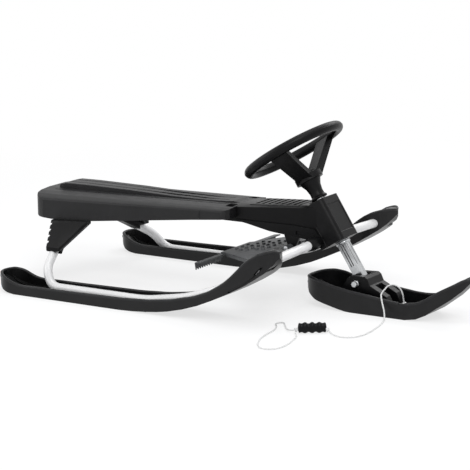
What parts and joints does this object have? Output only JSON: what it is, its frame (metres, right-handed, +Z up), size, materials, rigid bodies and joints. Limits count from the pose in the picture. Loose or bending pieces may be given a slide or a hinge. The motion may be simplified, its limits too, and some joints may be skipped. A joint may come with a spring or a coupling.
{
  "type": "ski sled",
  "caption": "Steerable ski sled with rear skis on a bent tube frame, low seat, raked steering wheel, single front ski, toothed foot brake and tow cord.",
  "frame": {"origin": "middle of the bounding box without the tow cord and handle, on the ground under the skis", "axes": "+X forward along the sled, +Y to the driver's left, +Z up"},
  "size_m": [1.184, 0.7496, 0.4388],
  "materials": {
    "black_plastic": "satin",
    "seat_plastic": "fine grain",
    "deck_plastic": "fine grain",
    "wheel_plastic": "fine grain",
    "white_tube": "gloss",
    "zinc_steel": "zinc plated",
    "bolt_steel": "zinc plated",
    "brake_steel": "zinc plated, dull",
    "white_cord": "braided"
  },
  "bodies": {
    "frame": {"ski_right": "black_plastic", "ski_left": "black_plastic", "tube_right": "white_tube", "tube_left": "white_tube", "fin_right": "black_plastic", "fin_left": "black_plastic", "seat": "seat_plastic", "seat_pad": "seat_plastic", "console": "black_plastic", "console_deck": "deck_plastic", "steering_head": "black_plastic", "brake_mount": "black_plastic"},
    "steering": {"column": "zinc_steel", "pivot_bolt": "bolt_steel", "neck": "black_plastic", "steering_wheel": "wheel_plastic"},
    "front_ski": {"front_ski": "black_plastic", "ski_saddle": "black_plastic", "tow_cord": "white_cord", "tow_handle": "black_plastic"},
    "brake": {"brake_plate": "brake_steel", "brake_claws": "brake_steel", "brake_pin": "bolt_steel"}
  },
  "joints": [
    {"name": "steer", "type": "hinge", "parent": "frame", "child": "steering", "pos_m": [0.297, 0, 0.076], "axis": [-0.5373, 0, 0.8434], "range_deg": [-25, 25]},
    {"name": "ski_pitch", "type": "hinge", "parent": "steering", "child": "front_ski", "pos_m": [0.304, 0, 0.065], "axis": [0, -1, 0], "range_deg": [-10, 12]},
    {"name": "brake", "type": "hinge", "parent": "frame", "child": "brake", "pos_m": [0.139, 0, 0.141], "axis": [0, -1, 0], "range_deg": [0, 26], "stiffness_Nm_per_rad": 3, "springref_deg": -51.57}
  ]
}
